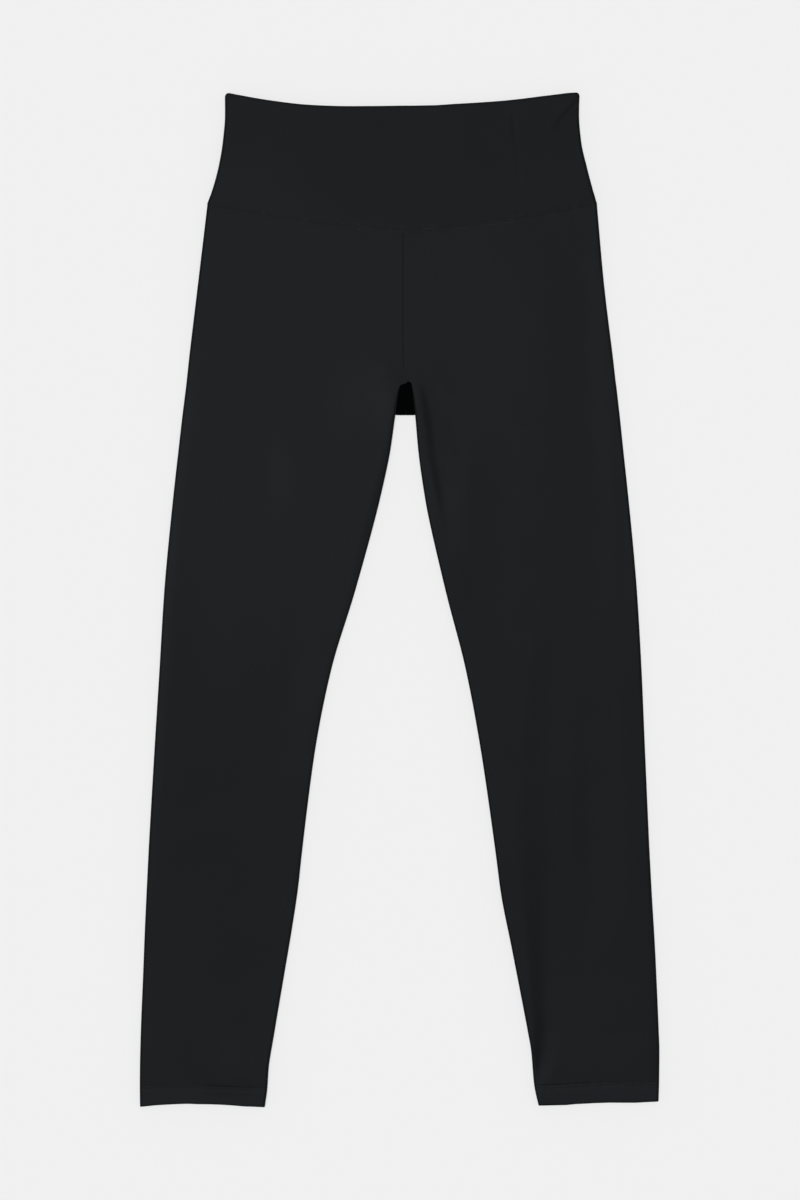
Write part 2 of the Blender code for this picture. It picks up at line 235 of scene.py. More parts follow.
LEFT_LEG_CREASES = creases(
    (  # long trough from the knee to the ankle
        (143, 10, 18, 40), (140, -45, 22, 40, -0.5), (137, -144, 32, 46, -0.9),
        (135, -225, 30, 50, -0.85), (134, -288, 24, 62, -1.3), (134, -342, 19, 66, -1.6),
        (133, -387, 14, 60, -1.05), (129.5, -410, 12, 50, -0.5), (126, -428, 10, 40),
    ),
    (  # its sharp end above the hem
        (134, -368, 13, 15), (132.5, -388, 13, 15, -0.45), (129.5, -408, 12, 14, -0.9),
        (127, -418, 10, 13, -1.05), (123.5, -428, 8, 12, -0.75), (121, -438, 6, 8),
    ),
    (  # fainter trough on the shin
        (173, -50, 20, 24), (173, -110, 20, 24, -0.4), (173, -199, 20, 26, -0.7),
        (175, -271, 20, 26, -0.55), (176, -325, 18, 22),
    ),
    (  # cloth falling away down the side
        (230, 0, 14, 9), (235, -100, 15, 9, -0.5), (238, -200, 18, 9, -0.8),
        (243, -350, 21, 9, -0.9), (243, -430, 19, 9, -0.5), (243, -445, 18, 9),
    ),
    (  # crease on the inside of the thigh
        (19, 196, 4, 8), (25, 184, 7, 18, -0.7), (30, 166, 9.5, 28, -1.1),
        (33.5, 152, 11, 30, -1.2), (36.2, 129, 11.5, 30, -1.15), (38.4, 107, 9, 26, -0.95),
        (40, 89, 7, 18, -0.6), (46, 58, 5, 12),
    ),
    (  # slack across the hip
        (162, 345, 36, 16), (165, 285, 38, 18, -0.5), (169, 190, 40, 20, -0.6),
        (172, 100, 42, 22, -0.5), (173, 20, 42, 24, -0.45), (173, -50, 34, 22),
    ),
    (  # low ridge along the side of the shin
        (200, -40, 12, 16), (201, -100, 12, 18, 0.25), (204, -190, 12, 18, 0.32),
        (207, -270, 12, 18, 0.2), (209, -330, 12, 16),
    ),
)

RIGHT_LEG_CREASES = creases(
    (  # cloth rounding off down the inside
        (-18, 98, 8, 5), (-27, 58, 8, 6, -0.36), (-37.6, 8, 8, 6, -0.44), (-58.2, -63, 9, 6, -0.36),
        (-73, -136, 12, 6, -0.32), (-84.6, -226, 10, 6, -0.2), (-100.5, -338, 9, 6, -0.16),
        (-109.3, -388, 9, 6),
    ),
    (  # cloth standing up beside the gusset
        (-2, 208, 20, 14), (-4, 190, 24, 12, 0.6), (-8, 165, 26, 10, 1.2), (-15, 130, 26, 9, 1),
        (-26, 85, 26, 8, 0.6), (-38, 40, 24, 7),
    ),
    (  # low ridge down the thigh
        (-104, 200, 16, 30), (-103, 150, 16, 30, 0.4), (-106, 80, 14, 30, 0.5), (-112, 30, 12, 26),
    ),
    (  # ridge down the shin
        (-158, 40, 24, 34), (-152, -40, 26, 40, 0.5), (-146, -120, 26, 36, 0.5),
        (-140, -190, 22, 30),
    ),
    (  # hollow inside the knee
        (-92, 10, 20, 22), (-92, -50, 20, 22, -0.5), (-98, -120, 18, 22),
    ),
    (  # ridge across the ankle
        (-200, -340, 44, 14), (-184, -372, 50, 17, 0.5), (-160, -405, 50, 17, 0.9),
        (-143, -428, 36, 14, 0.6), (-131, -443, 22, 12),
    ),
    (  # dimple beside it
        (-162, -404, 5, 5), (-160.5, -410, 6, 6, -0.25), (-159, -416, 5, 5),
    ),
)

BAND_CREASES = creases(
    (  # short slanting crease under the top edge
        (161.5, 450, 4, 5, -0.2), (158, 444, 4, 6, -0.7), (152, 437, 5, 7, -0.6),
        (145, 429, 5, 7, -0.5), (137, 419, 5, 7),
    ),
    (  # edge of the inner pocket, pressing through
        (101, 440, 2.2, 2.2), (101.8, 434, 2.4, 2.4, -0.26), (103, 424, 2.6, 2.6, -0.24),
        (104.5, 408, 2.6, 2.6, -0.1), (105.8, 397, 2.6, 2.6, -0.13), (107.2, 384, 2.6, 2.6, -0.04),
        (108.2, 373, 2.4, 2.4, -0.2), (108.8, 366, 2.4, 2.4),
    ),
    (  # and its upper edge
        (87, 436.5, 2, 2), (93, 436.8, 2.2, 2.2, -0.26), (99.5, 436.6, 2, 2),
    ),
)

# The back lies on the floor, so its creases lift off it.
BACK_CREASES = creases(
    (  # behind the right thigh and knee
        (-150, 120, 12, 14), (-128, 60, 13, 16, 0.5), (-118, -30, 12, 18, 0.6),
        (-122, -110, 10, 12),
    ),
    (  # behind the right ankle
        (-178, -250, 9, 12), (-172, -330, 10, 13, 0.7), (-165, -400, 8, 10, 0.5),
        (-160, -432, 7, 7),
    ),
    (  # behind the left thigh
        (40, 170, 7, 9), (52, 110, 9, 12, 0.6), (70, 40, 10, 12),
    ),
    (  # down the back of the left calf
        (150, -60, 12, 16), (144, -170, 12, 18, 0.6), (150, -290, 10, 14, 0.5), (158, -400, 8, 9),
    ),
)

# Round or oval patches that ease out to their reach. "most" is what each comes to in its middle.
Patch = namedtuple("Patch", "x y reach_x reach_y most")
MOUND = table(Patch, (4, 180, 56, 56, 1.1))  # over the crotch, where four seams meet

# Broad unevenness of cloth that has been smoothed by hand: waves of a "length", heading and height.
Wave = namedtuple("Wave", "length heading_deg start rise")
WAVES = table(
    Wave,
    (143, 12, 0.4, 0.1), (97, 151, 2.1, 0.08), (71, 78, 4.4, 0.06), (52, 118, 1.3, 0.04),
    (33, 34, 5.2, 0.025),
)
BACK_WAVES = 0.5  # the share of it that the back has
BAND_WAVES = 0.6  # and the doubled waistband

# Small gathers along a stitched seam: long ones that drift, and small ones between them.
GATHER_RISE = 0.045
GATHER_REACH = 5.0
GATHER_LENGTH = 1.31  # for a radian, as are the next two lengths
GATHER_DRIFT = 1.7
GATHER_DRIFT_LENGTH = 9.7
SMALL_GATHER = 0.6
SMALL_GATHER_LENGTH = 2.17
SMALL_GATHER_START = 2.0
HEM_GATHER_SHIFT = 40.0  # sets the hem's gathers off from the waist's

# Painted light and shade, standing in for the cloth's broad shading: patches that make the knit's colour
# lighter where most is above 0 and deeper where it is below, as a share of its colour.
LEG_PAINTED_SHADING = table(
    Patch,
    (-18, 177, 18, 46, 0.4),  # beside the gusset
    (-42, 186, 38, 66, 0.17), (-105, 110, 22, 60, 0.16),
    (70, 230, 90, 110, 0.12),  # centre front of the left leg
    (-205, 0, 44, 170, -0.14),
    (-165, -190, 120, 250, -0.2),  # right shin
    (-200, -130, 60, 130, -0.1),
    (-151, -402, 14, 26, 0.16), (-160, -440, 24, 9, -0.18),
    (-176, -452, 160, 17, 0.27),  # right hem
    (62, 20, 40, 150, -0.2),  # left knee and shin
    (44, 148, 20, 44, -0.16), (51, 66, 17, 74, 0.22), (78, 112, 30, 62, -0.1),
    (128, 50, 32, 90, -0.1), (150, -150, 110, 240, -0.17),
    (212, 60, 24, 170, 0.12),  # left side
    (210, -420, 50, 70, 0.07),
    (185, -447, 160, 19, 0.32),  # left hem
)
# A painted highlight along a side fold. Its points are a crease's, and "rise" is how much lighter it makes
# the colour, as a share of it.
PAINTED_FOLD_HIGHLIGHT = creases(
    (
        (-189, 235, 6, 13), (-194.5, 170, 6, 14, 0.3), (-203.8, 89, 6, 14, 0.4),
        (-211.5, 8, 6, 14, 0.42), (-220.4, -136, 6, 13, 0.36), (-225.6, -226, 6, 12, 0.16),
        (-228.5, -290, 6, 12),
    ),
)
# Painted light and shade on the waistband, the same way.
BAND_PAINTED_SHADING = table(
    Patch,
    (-155, 372, 80, 42, 0.18),  # lower right corner
    (-90, 348, 100, 30, 0.12), (-10, 336, 90, 20, 0.12), (140, 375, 60, 36, 0.12),
)


# ---- lines and heights


def steady(values, at):
    """A table column read between its rows, smoothly and with no overshoot (monotone cubic)."""
    values = np.asarray(values, float)
    slopes = np.diff(values)
    before, after = slopes[:-1], slopes[1:]
    same_way = before * after > 0
    inner = np.where(same_way, 2 * before * after / np.where(same_way, before + after, 1), 0)
    tangents = np.r_[slopes[:1], inner, slopes[-1:]]
    k = np.clip(np.floor(at).astype(int), 0, len(slopes) - 1)
    t = at - k
    ends = (1 + 2 * t) * (1 - t) ** 2 * values[k] + t * t * (3 - 2 * t) * values[k + 1]
    return ends + t * (1 - t) ** 2 * tangents[k] - t * t * (1 - t) * tangents[k + 1]


def share_of(distance, reach):
    """0 at no distance, growing evenly to 1 at the reach."""
    return np.clip(distance / reach, 0, 1)


def edge_steps(radius):
    """Distances in from an edge that round it off."""
    turn = np.linspace(0, math.pi / 2, EDGE_STEPS + 1)
    return radius * (1 - np.cos(turn))


def guarded(steps):
    return np.append(steps, steps[-1] + GUARD_ROW)


def row_distances(length, fine_from, spacing, first_round, last_round):
    """Where the rows of a panel lie along it. Rows are close beside the stitching, at each of fine_from."""
    marks = [0.0]
    while marks[-1] < length:
        near = min(abs(marks[-1] - place) for place in fine_from)
        share = share_of(near - FINE_REACH, FINE_EASE)
        marks.append(marks[-1] + FINE_SPACING + share * (spacing - FINE_SPACING))
    first, last = guarded(edge_steps(first_round)), guarded(edge_steps(last_round))
    middle = [m for m in marks if first[-1] + LEAST_ROW < m < length - last[-1] - LEAST_ROW]
    return np.r_[first, middle, length - last[::-1]]


def lines_at(lines, mean_y, distances):
    """The table's columns at distances down the panel, each an array with one value a row."""
    down = np.abs(mean_y - mean_y[0])
    places = np.interp(distances, down, np.arange(len(lines)))
    columns = {name: steady(column, places)[:, None] for name, column in zip(lines[0]._fields, zip(*lines))}
    return type(lines[0])(**columns)


def value_along(points, x):
    """The second column of a table at each x, its first."""
    places, values = zip(*points)
    return np.interp(x, places, values)


def bell(away):
    """1 in the middle, easing out to 0 where away is 1."""
    return np.maximum(0, 1 - away**2) ** 2


def crease_rise(table_of_creases, x, y):
    """How far the creases lift or sink the cloth."""
    total = np.zeros(np.broadcast(x, y).shape)
    for crease in table_of_creases:
        nearest = np.full(total.shape, np.inf)
        rise = np.zeros(total.shape)
        for a, b in zip(crease, crease[1:]):
            run_x, run_y = b.x - a.x, b.y - a.y
            t = np.clip(((x - a.x) * run_x + (y - a.y) * run_y) / (run_x**2 + run_y**2), 0, 1)
            here = CreasePoint(*(start + t * (end - start) for start, end in zip(a, b)))
            away = np.hypot(x - here.x, y - here.y)
            rightness = 0.5 + 0.5 * (x - here.x) / np.maximum(away, 0.01)
            reach = here.left + (here.right - here.left) * rightness
            rise = np.where(away < nearest, here.rise * bell(away / reach), rise)
            nearest = np.minimum(away, nearest)
        total += rise
    return total


def wave_rise(x, y):
    """The cloth's broad unevenness."""
    total = 0
    for wave in WAVES:
        heading = math.radians(wave.heading_deg)
        along = x * math.cos(heading) + y * math.sin(heading)
        total = total + wave.rise * np.sin(2 * math.pi * along / wave.length + wave.start)
    return total


def with_patches(total, patches, x, y):
    """The total with the patches added at each point."""
    for patch in patches:
        away = np.hypot((x - patch.x) / patch.reach_x, (y - patch.y) / patch.reach_y)
        total = total + patch.most * bell(away)
    return total


def gathers(along, away):
    """The rise of small gathers along a stitched seam, dying out away from it."""
    drift = GATHER_DRIFT * np.sin(along / GATHER_DRIFT_LENGTH)
    small = SMALL_GATHER * np.sin(along / SMALL_GATHER_LENGTH + SMALL_GATHER_START)
    wave = np.sin(along / GATHER_LENGTH + drift) + small
    return GATHER_RISE * wave * np.exp(-((away / GATHER_REACH) ** 2))


# ---- faces of the pieces


def roll():
    """(inset, share of the drop) round a turned edge, from its tip to the flat cloth."""
    turn = np.linspace(0, math.pi / 2, ROLL_STEPS, endpoint=False)
    return FOLD_REACH * (1 - np.cos(turn)), 1 - np.sin(turn)


def roll_shares(insets):
    """The same shares at other insets."""
    roll_inset, roll_share = roll()
    return np.interp(insets, np.append(roll_inset, FOLD_REACH), np.append(roll_share, 0))


def flat_shares(columns):
    """0 to 1 across the flat cloth, closer together near the edges."""
    even = np.linspace(0, 1, columns + 1)
    return (1 - EDGE_CROWDING) * even + EDGE_CROWDING * (1 - np.cos(math.pi * even)) / 2


def leg_face(lines, front_creases, hem_edge):
    """A leg's outer face from the back's inner edge round the side to the front's: rows x columns x 3."""
    mean_y = np.array([(line.outer_y + line.inner_y) / 2 for line in lines])
    length = mean_y[0] - mean_y[-1]
    hem_rows = [length - HEM_DEPTH, length - HEM_DEPTH + ROW_PITCH]
    distances = row_distances(length, [0.0, hem_rows[0]], ROW_SPACING, FLUSH_ROUND, HEM_WALL / 2)
    line = lines_at(lines, mean_y, distances)
    down = distances[:, None]
    way = np.sign(line.inner_x - line.outer_x)
    line = line._replace(inner_x=line.inner_x + way * CENTRE_CLOSE)
    top_close = SEAM_CLOSE * (1 - share_of(down, CLOSE_REACH))
    near_hem = share_of(down - length + HEM_EDGE_REACH, HEM_EDGE_EASE)
    width = np.abs(line.inner_x - line.outer_x)
    roll_inset, roll_share = roll()
    flat = width - 2 * FOLD_REACH
    tip_inset = edge_steps(EDGE_ROUND)[:-1]

    def spot(inset):
        share = 1 - (1 - inset / width) ** line.bow
        lift = line.lift * np.sin(math.pi * share_of(inset, width))
        y = line.outer_y + (line.inner_y - line.outer_y) * share + lift + top_close
        x = line.outer_x + way * inset
        return x, y + near_hem * value_along(hem_edge, x)

    def back_height(inset):
        x, y = spot(inset)
        inside = share_of(np.minimum(inset, width - inset) - FOLD_REACH, BACK_EASE) ** 2
        lifted = crease_rise(BACK_CREASES, x, y) * share_of(length - down, BACK_HEM_EASE)
        return inside * (lifted + BACK_WAVES * np.maximum(0, wave_rise(y, x)))

    def front_height(inset):
        x, y = spot(inset)
        form = line.height + crease_rise(front_creases, x, y) + wave_rise(x, y)
        form = with_patches(form, MOUND, x, y)
        form += gathers(x, down) + gathers(x + HEM_GATHER_SHIFT, length - HEM_DEPTH - down)
        in_hem = share_of(down - hem_rows[1], length - hem_rows[1])
        form += HEM_SWELL * (1 - (1 - np.minimum(HEM_SWELL_PACE * in_hem, 1)) ** 2)
        form -= HEM_ROLL * (1 - share_of(length - down, HEM_ROLL_REACH)) ** 2
        least = 2 * KNIT + LAYER_GAP + back_height(inset)
        return least + np.logaddexp(0, (form - least) * LAYER_HARDNESS) / LAYER_HARDNESS

    side_top = front_height(np.full_like(width, FOLD_REACH))
    side_foot = back_height(np.full_like(width, FOLD_REACH))
    side_drop = (side_top - side_foot) / 2
    inner_top = front_height(width - FOLD_REACH)
    inner_drop = line.rolled * (inner_top - SEAM_GAP) / 2

    def stack(inset, z):
        return np.stack(np.broadcast_arrays(*spot(inset), z), axis=-1)

    inner_insets = np.r_[tip_inset, np.maximum(roll_inset, tip_inset[-1] + LEAST_COLUMN)[1:]]
    inner_shares = roll_shares(inner_insets)
    back_flat = FOLD_REACH + flat * flat_shares(LEG_BACK_COLUMNS)[::-1]
    front_flat = FOLD_REACH + flat * flat_shares(LEG_FRONT_COLUMNS)
    parts = [
        stack(width - inner_insets, inner_drop * inner_shares),
        stack(back_flat, back_height(back_flat)),
        stack(roll_inset[::-1], side_foot + side_drop * roll_share[::-1]),
        stack(roll_inset[1:], side_top - side_drop * roll_share[1:]),
        stack(front_flat, front_height(front_flat)),
        stack(width - inner_insets[::-1], inner_top - inner_drop * inner_shares[::-1]),
    ]
    return np.concatenate(parts, axis=1), distances, [ROW_PITCH, *hem_rows]


def corner_drop(inset, radius):
    """How far a rounded corner lies below the square one, at a distance in from the side."""
    return radius - np.sqrt(radius**2 - np.clip(radius - inset, 0, radius) ** 2)


def band_face(front):
    """A waistband panel's outer face, from its lower edge to its folded top edge: rows x columns x 3."""
    mean_y = np.array([(line.side_y + line.dip_y) / 2 for line in WAISTBAND])
    length = mean_y[-1] - mean_y[0]
    distances = row_distances(length, [0.0], BAND_ROW_SPACING, FLUSH_ROUND, FOLDED_ROUND)
    line = lines_at(WAISTBAND, mean_y, distances)
    up = distances[:, None]
    width = line.right_x - line.left_x
    side_insets = np.unique(np.r_[edge_steps(EDGE_ROUND)[:-1], roll()[0]].round(4))
    side_shares = roll_shares(side_insets)
    flat = FOLD_REACH + (width - 2 * FOLD_REACH) * flat_shares(BAND_COLUMNS)
    left = side_insets + 0 * width
    inset = np.concatenate([left, flat, width - left[:, ::-1]], axis=1)
    shares = np.r_[side_shares, np.zeros(BAND_COLUMNS + 1), side_shares[::-1]]
    x = line.left_x + inset
    half = np.where(x < line.dip_x, line.dip_x - line.left_x, line.right_x - line.dip_x)
    out = share_of(np.abs(x - line.dip_x), half) ** line.bow
    y = line.dip_y + (line.side_y - line.dip_y) * out - SEAM_CLOSE * (1 - share_of(up, CLOSE_REACH))
    near_top = share_of(up - length + TOP_EDGE_REACH, TOP_EDGE_REACH) ** 2
    y += near_top * value_along(TOP_EDGE, x)
    y -= near_top * (corner_drop(inset, LEFT_CORNER) + corner_drop(width - inset, RIGHT_CORNER))
    drop = (BAND_HEIGHT - SEAM_GAP) / 2
    if not front:
        return np.stack(np.broadcast_arrays(x, y, drop * shares), axis=-1), distances
    form = BAND_HEIGHT - drop * shares
    calm = share_of(np.minimum(inset, width - inset) - FOLD_REACH, BAND_EASE)
    form = form + calm * (BAND_WAVES * wave_rise(x, y) + gathers(x, up))
    turned_down = TOP_ROLL * (1 - share_of(length - up, TOP_ROLL_REACH)) ** 2
    form += (1 - shares) * (crease_rise(BAND_CREASES, x, y) - turned_down)
    return np.stack(np.broadcast_arrays(x, y, form), axis=-1), distances


def inner_edge_at(leg, y):
    """The x of a leg's inner edge at heights y."""
    return np.interp(-y, -leg[:, 0, 1], leg[:, 0, 0])


def gusset_face(right_leg, left_leg):
    """The gusset: down the front, round the crotch and up the back. Its front's top tucks under the legs."""
    right_top, left_top = RIGHT_LEG[GUSSET_TOP_LINE], LEFT_LEG[GUSSET_TOP_LINE]
    top = left_top.inner_y + GUSSET_TUCK
    bottom = RIGHT_LEG[GUSSET_LOW_LINE].inner_y
    radius = GUSSET_HEIGHT / 2
    bend_top = bottom + radius
    down = np.linspace(0, 1, GUSSET_ROWS, endpoint=False)
    turn = np.linspace(0, math.pi, 2 * ROLL_STEPS + 1)
    across = np.linspace(0, 1, GUSSET_COLUMNS + 1)
    front_y = top + down * (bend_top - top)
    back_top = right_top.inner_y + across * (left_top.inner_y - right_top.inner_y) - SEAM_GAP
    back_y = back_top + down[::-1, None] * (bend_top - back_top)
    rows = np.r_[front_y, bend_top - radius * np.sin(turn)][:, None]
    y = np.r_[rows + 0 * across, back_y]
    flat = np.ones(GUSSET_ROWS)
    z = radius * (1 + np.r_[flat, np.cos(turn), -flat])[:, None]
    tuck_low = right_top.inner_y - GUSSET_TUCK
    tuck = GUSSET_TUCK * share_of(y - tuck_low, top - tuck_low) * (z > radius) + GUSSET_LAP
    right_x = np.minimum(inner_edge_at(right_leg, y[:, :1]), right_top.inner_x) - tuck[:, :1]
    left_x = inner_edge_at(left_leg, np.minimum(y[:, -1:], left_top.inner_y)) + tuck[:, -1:]
    x = right_x + across * (left_x - right_x)
    low = share_of(bend_top + GUSSET_CROWN_REACH - y, GUSSET_CROWN_REACH)
    crown = GUSSET_CROWN * np.sin(math.pi * across) * low * (z > radius)
    return np.stack(np.broadcast_arrays(x, y, z + crown), axis=-1)


# ---- meshes


def put(name, data):
    """A new object in the scene."""
    made = bpy.data.objects.new(name, data)
    bpy.context.scene.collection.objects.link(made)
    return made


def grid_normals(face, outward):
    """Unit normals of a grid of points. outward is the sign that turns them out of the piece."""
    down, over = np.gradient(face, axis=0), np.gradient(face, axis=1)
    normals = outward * np.cross(down, over)
    return normals / np.maximum(np.linalg.norm(normals, axis=-1, keepdims=True), 1e-12)


def outward_sign(face, row, column, looks_up):
    """1 or -1, so that the face at that row and column looks up, or down, as it should."""
    return 1 if (grid_normals(face, 1)[row, column, 2] > 0) == looks_up else -1


def pulled_in(face, distances, rows, outward):
    """The face with rows of stitches pulled in. Each row is (distance down the panel, pulls along it)."""
    dip = 0
    for at, pulls in rows:
        near = np.exp(-(((distances[:, None] - at) / ROW_DIP_WIDTH) ** 2) * 2)
        dip = dip + ROW_DIP * near * value_along(pulls, face[..., 0])
    return face - grid_normals(face, outward) * dip[..., None]


def run_along(face, axis):
    """Distance along the grid's lines from their first point."""
    steps = np.linalg.norm(np.diff(face, axis=axis), axis=-1)
    start = np.zeros_like(np.take(steps, [0], axis=axis))
    return np.concatenate([start, np.cumsum(steps, axis=axis)], axis=axis)


def run_area(face):
    """The area of a face, in square metres."""
    over, down = np.diff(face, axis=1)[:-1], np.diff(face, axis=0)[:, :-1]
    return float(np.linalg.norm(np.cross(over, down), axis=-1).sum()) * MM * MM


def fold_radius(face, normals):
    """How tightly the face folds across its rows at each point."""
    step, turn = np.diff(face, axis=1), np.diff(normals, axis=1)
    bend = np.maximum((step * turn).sum(axis=-1), 1e-9)
    radius = np.pad((step**2).sum(axis=-1) / bend, ((0, 0), (1, 1)), mode="edge")
    return np.minimum(radius[:, :-1], radius[:, 1:])


def fitted_wall(face, normals, wall):
    """The wall's thickness at each point, less inside a tight fold, where that much has no room."""
    across = fold_radius(face, normals)
    down = fold_radius(face.swapaxes(0, 1), normals.swapaxes(0, 1)).T
    fitted = np.minimum(wall, FOLD_SHARE * np.minimum(across, down))
    for _ in range(FOLD_EASING):
        around = np.pad(fitted, 1, mode="edge")
        beside = (around[1:-1, :-2] + around[1:-1, 2:]) / 2
        along = (around[:-2, 1:-1] + around[2:, 1:-1]) / 2
        fitted = np.minimum(fitted, np.minimum(beside, along))
    return fitted


def cloth_shell(name, face, wall, outward, centre_column, first_round, last_round, patches=()):
    """A closed shell of cloth: a wall inwards from its outer face, with rounded edges."""
    normals = grid_normals(face, outward)
    over, down = run_along(face, 1), run_along(face, 0)
    sides = np.minimum(over, over[:, -1:] - over) / EDGE_ROUND
    edge = np.minimum(sides, np.minimum(down / first_round, (down[-1:, :] - down) / last_round))
    half_wall = normals * fitted_wall(face, normals, wall)[..., None] / 2
    swell = np.sqrt(1 - (1 - np.clip(edge, 0, 1)) ** 2)[..., None]
    middle = face - half_wall
    outer, inner = middle + half_wall * swell, middle - half_wall * swell

    rows, columns = edge.shape
    index = np.arange(rows * columns).reshape(rows, columns)
    inner_index = index.copy()
    inside = np.arange((rows - 2) * (columns - 2)).reshape(rows - 2, columns - 2)
    inner_index[1:-1, 1:-1] = rows * columns + inside

    def both(values, size):
        """A value for each point of the outer face, then for the inner face's own points."""
        return np.r_[values[0].reshape(-1, size), values[1][1:-1, 1:-1].reshape(-1, size)]

    def quads(grid, turned):
        corners = [grid[:-1, :-1], grid[1:, :-1], grid[1:, 1:], grid[:-1, 1:]]
        return np.stack(corners[::-1] if turned else corners, axis=-1).reshape(-1, 4)

    faces = np.r_[quads(index, outward < 0), quads(inner_index, outward > 0)]
    mesh = bpy.data.meshes.new(name)
    mesh.from_pydata((both((outer, inner), 3) * MM).tolist(), [], faces.tolist())
    flat_u = over - over[:, centre_column : centre_column + 1]
    cloth_map = np.stack([flat_u * MM, face[..., 1] * MM], axis=-1)
    uv = both((cloth_map, cloth_map), 2)[faces.reshape(-1)]
    mesh.uv_layers.new(name="cloth").data.foreach_set("uv", uv.astype(np.float32).ravel())
    # Painted light and shade: the lighter and deeper patches and the painted fold highlight, kept on the
    # shell for its material.
    x, y = face[..., 0], face[..., 1]
    painted_shading = with_patches(crease_rise(PAINTED_FOLD_HIGHLIGHT, x, y), patches, x, y)
    painted_shading = both((painted_shading, painted_shading), 1).ravel().astype(np.float32)
    mesh.attributes.new("painted_shading", "FLOAT", "POINT").data.foreach_set("value", painted_shading)
    mesh.shade_smooth()
    mesh.update()
    return put(name, mesh)


# ---- shader groups

# The knit's look close up.
LOOP_SLANT = 1.1  # how far a loop's side slants, in stitches for each column
LOOP_ROUNDNESS = 0.6
RIB_ROUNDNESS = 3.0
RIB_RELIEF = 0.7  # the columns' share of the relief


def fill(tree, node, inputs):
    """Sets a node's inputs, by socket name or number, or links them where the value is another's socket."""
    for key, value in dict(inputs).items():
        if isinstance(value, bpy.types.NodeSocket):
            tree.links.new(value, node.inputs[key])
        else:
            node.inputs[key].default_value = value


def node_maker(tree):
    """Two short ways to add a node to a tree. Each gives one of its outputs, or all if out is None."""

    def make(kind, inputs=(), out=0, **settings):
        # a kind without "Node" in it is a shader node's
        node = tree.nodes.new(kind if "Node" in kind else "ShaderNode" + kind)
        for key, value in settings.items():
            setattr(node, key, value)
        fill(tree, node, inputs)
        return node.outputs if out is None else node.outputs[out]

    def calc(operation, *values):
        return make("Math", dict(enumerate(values)), operation=operation)

    return make, calc


def add_sockets(tree, way, sockets):
    """Adds a tree's inputs or outputs. Each is (name, kind) or (name, kind, value)."""
    for label, kind, *value in sockets:
        socket = tree.interface.new_socket(name=label, in_out=way, socket_type="NodeSocket" + kind)
        if value:
            socket.default_value = value[0]


def new_group(name, inputs, outputs):
    """An empty shader group with its sockets, and its input and output nodes."""
    tree = bpy.data.node_groups.new(name, "ShaderNodeTree")
    add_sockets(tree, "INPUT", inputs)
    add_sockets(tree, "OUTPUT", outputs)
    return tree, tree.nodes.new("NodeGroupInput").outputs, tree.nodes.new("NodeGroupOutput")


def knit_group():
    """Plain knit seen close: columns of V-shaped stitches, from a map in metres."""
    tree, given, result = new_group(
        "knit_stitches",
        (("Map", "Vector"), ("Column Width", "Float", 0.0006), ("Stitch Height", "Float", 0.0005)),
        (("Height", "Float"), ("Hollow", "Float")),
    )
    make, calc = node_maker(tree)
    place = make("SeparateXYZ", {0: given["Map"]}, out=None)
    across = calc("DIVIDE", place["X"], given["Column Width"])
    along = calc("DIVIDE", place["Y"], given["Stitch Height"])
    from_middle = calc("ABSOLUTE", calc("SUBTRACT", calc("FRACT", across), 0.5))
    slanted = calc("ADD", along, calc("MULTIPLY", from_middle, LOOP_SLANT))
    wave = calc("COSINE", calc("MULTIPLY", slanted, 2 * math.pi))
    loop = calc("POWER", calc("MULTIPLY_ADD", wave, 0.5, 0.5), LOOP_ROUNDNESS)
    rib = calc("SUBTRACT", 1.0, calc("POWER", calc("MULTIPLY", from_middle, 2.0), RIB_ROUNDNESS))
    height = calc("MULTIPLY", loop, calc("MULTIPLY_ADD", rib, RIB_RELIEF, 1 - RIB_RELIEF))
    fill(tree, result, {"Height": height, "Hollow": calc("SUBTRACT", 1.0, height)})
    return tree


def unevenness_group():
    """What dyed knit has beside its stitches: broad soft patches, and short stray fibres."""
    tree, given, result = new_group(
        "cloth_unevenness",
        (("Place", "Vector"), ("Patch Size", "Float", 0.09), ("Fibre Size", "Float", 0.0012)),
        (("Patches", "Float"), ("Fibres", "Float")),
    )
    make, calc = node_maker(tree)
    for label, size, detail, rough, stretch in (
        ("Patches", "Patch Size", 3.0, 0.5, (1.0, 0.6, 1.0)),
        ("Fibres", "Fibre Size", 4.0, 0.7, (1.0, 0.35, 1.0)),
    ):
        scaled = make("VectorMath", {0: given["Place"], 1: stretch}, operation="MULTIPLY")
        scale = calc("DIVIDE", 1.0, given[size])
        inputs = {"Vector": scaled, "Scale": scale, "Detail": detail, "Roughness": rough}
        fill(tree, result, {label: make("TexNoise", inputs, out="Fac")})
    return tree


# ---- materials

# "dark" and "light" are the ends of the cloth's colour, linear. "column" and "stitch" are the knit's sizes.
Cloth = namedtuple("Cloth", "dark light roughness specular sheen sheen_roughness column stitch relief")

LEG_CLOTH, BAND_CLOTH, GUSSET_SHADED_CLOTH = table(
    Cloth,
    ((0.0033, 0.0043, 0.0054), (0.0050, 0.0063, 0.0079), 0.50, 0.0462, 0.02, 0.45, 0.62, 0.52, 0.02),
    # the waistband's: the legs' cloth, made a little darker as painted shade
    ((0.0030, 0.0039, 0.0047), (0.0047, 0.0060, 0.0070), 0.50, 0.0430, 0.02, 0.45, 0.62, 0.52, 0.02),
    # the gusset's: black cloth, darkened to near-black as painted shade for the recess between the legs
    ((0.0003, 0.0005, 0.0005), (0.0008, 0.0014, 0.0013), 0.80, 0.0100, 0.00, 0.50, 0.70, 0.60, 0.04),
)
SHEEN_TINT = (0.85, 0.92, 1.0, 1)
PATCH_SHADE = 0.9  # how far from dark to light the soft patches take the colour
HOLLOW_PAINTED_SHADE = -0.25  # and the hollows of the stitches, darkened as painted shade
FIBRE_SHADE = 0.15  # and the stray fibres
FIBRE_ROUGHNESS = 0.08
FIBRE_RELIEF = 0.2
KNIT_BUMP = 0.6
